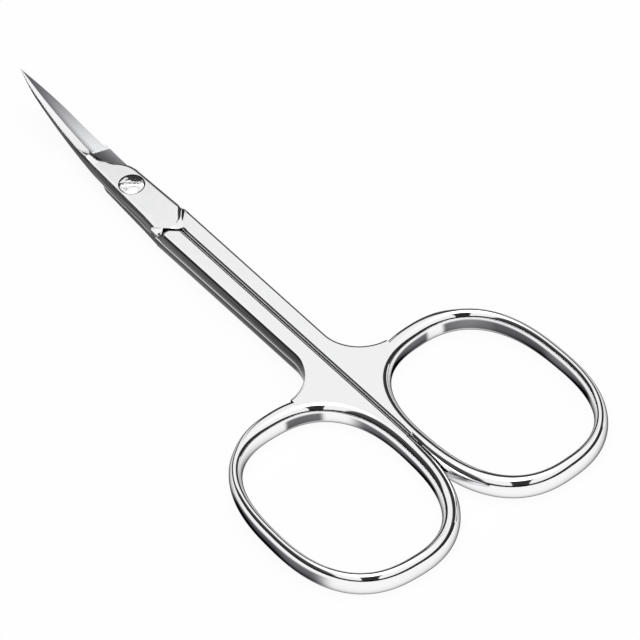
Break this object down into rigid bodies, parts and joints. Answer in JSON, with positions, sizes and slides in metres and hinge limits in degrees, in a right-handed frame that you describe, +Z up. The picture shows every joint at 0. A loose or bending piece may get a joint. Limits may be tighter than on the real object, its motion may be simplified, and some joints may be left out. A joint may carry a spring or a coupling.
{
  "type": "cuticle scissors",
  "caption": "Curved cuticle scissors: slim pointed blades that curve upwards, crossed at a lap joint with a slotted pivot screw, slim shanks and oval finger rings.",
  "frame": {"origin": "on the pivot axis, at the flat resting plane under the lower half", "axes": "+X along the centre line to the blade tips, +Y to the finger ring of the lower half, +Z up, away from the surface the closed scissors lie on, which is the way the blades curve"},
  "size_m": [0.0897, 0.0442, 0.0061],
  "materials": {
    "polished_steel": "mirror-polished plating, with satin ground inner blade faces",
    "screw_steel": "polished, lightly worn round the slot"
  },
  "bodies": {
    "lower": {"lower_half": "polished_steel", "pivot_screw": "screw_steel"},
    "upper": {"upper_half": "polished_steel"}
  },
  "joints": [
    {"name": "pivot", "type": "hinge", "parent": "lower", "child": "upper", "pos_m": [0, 0, 0.0016], "axis": [0, 0, 1], "range_deg": [0, 90]}
  ]
}
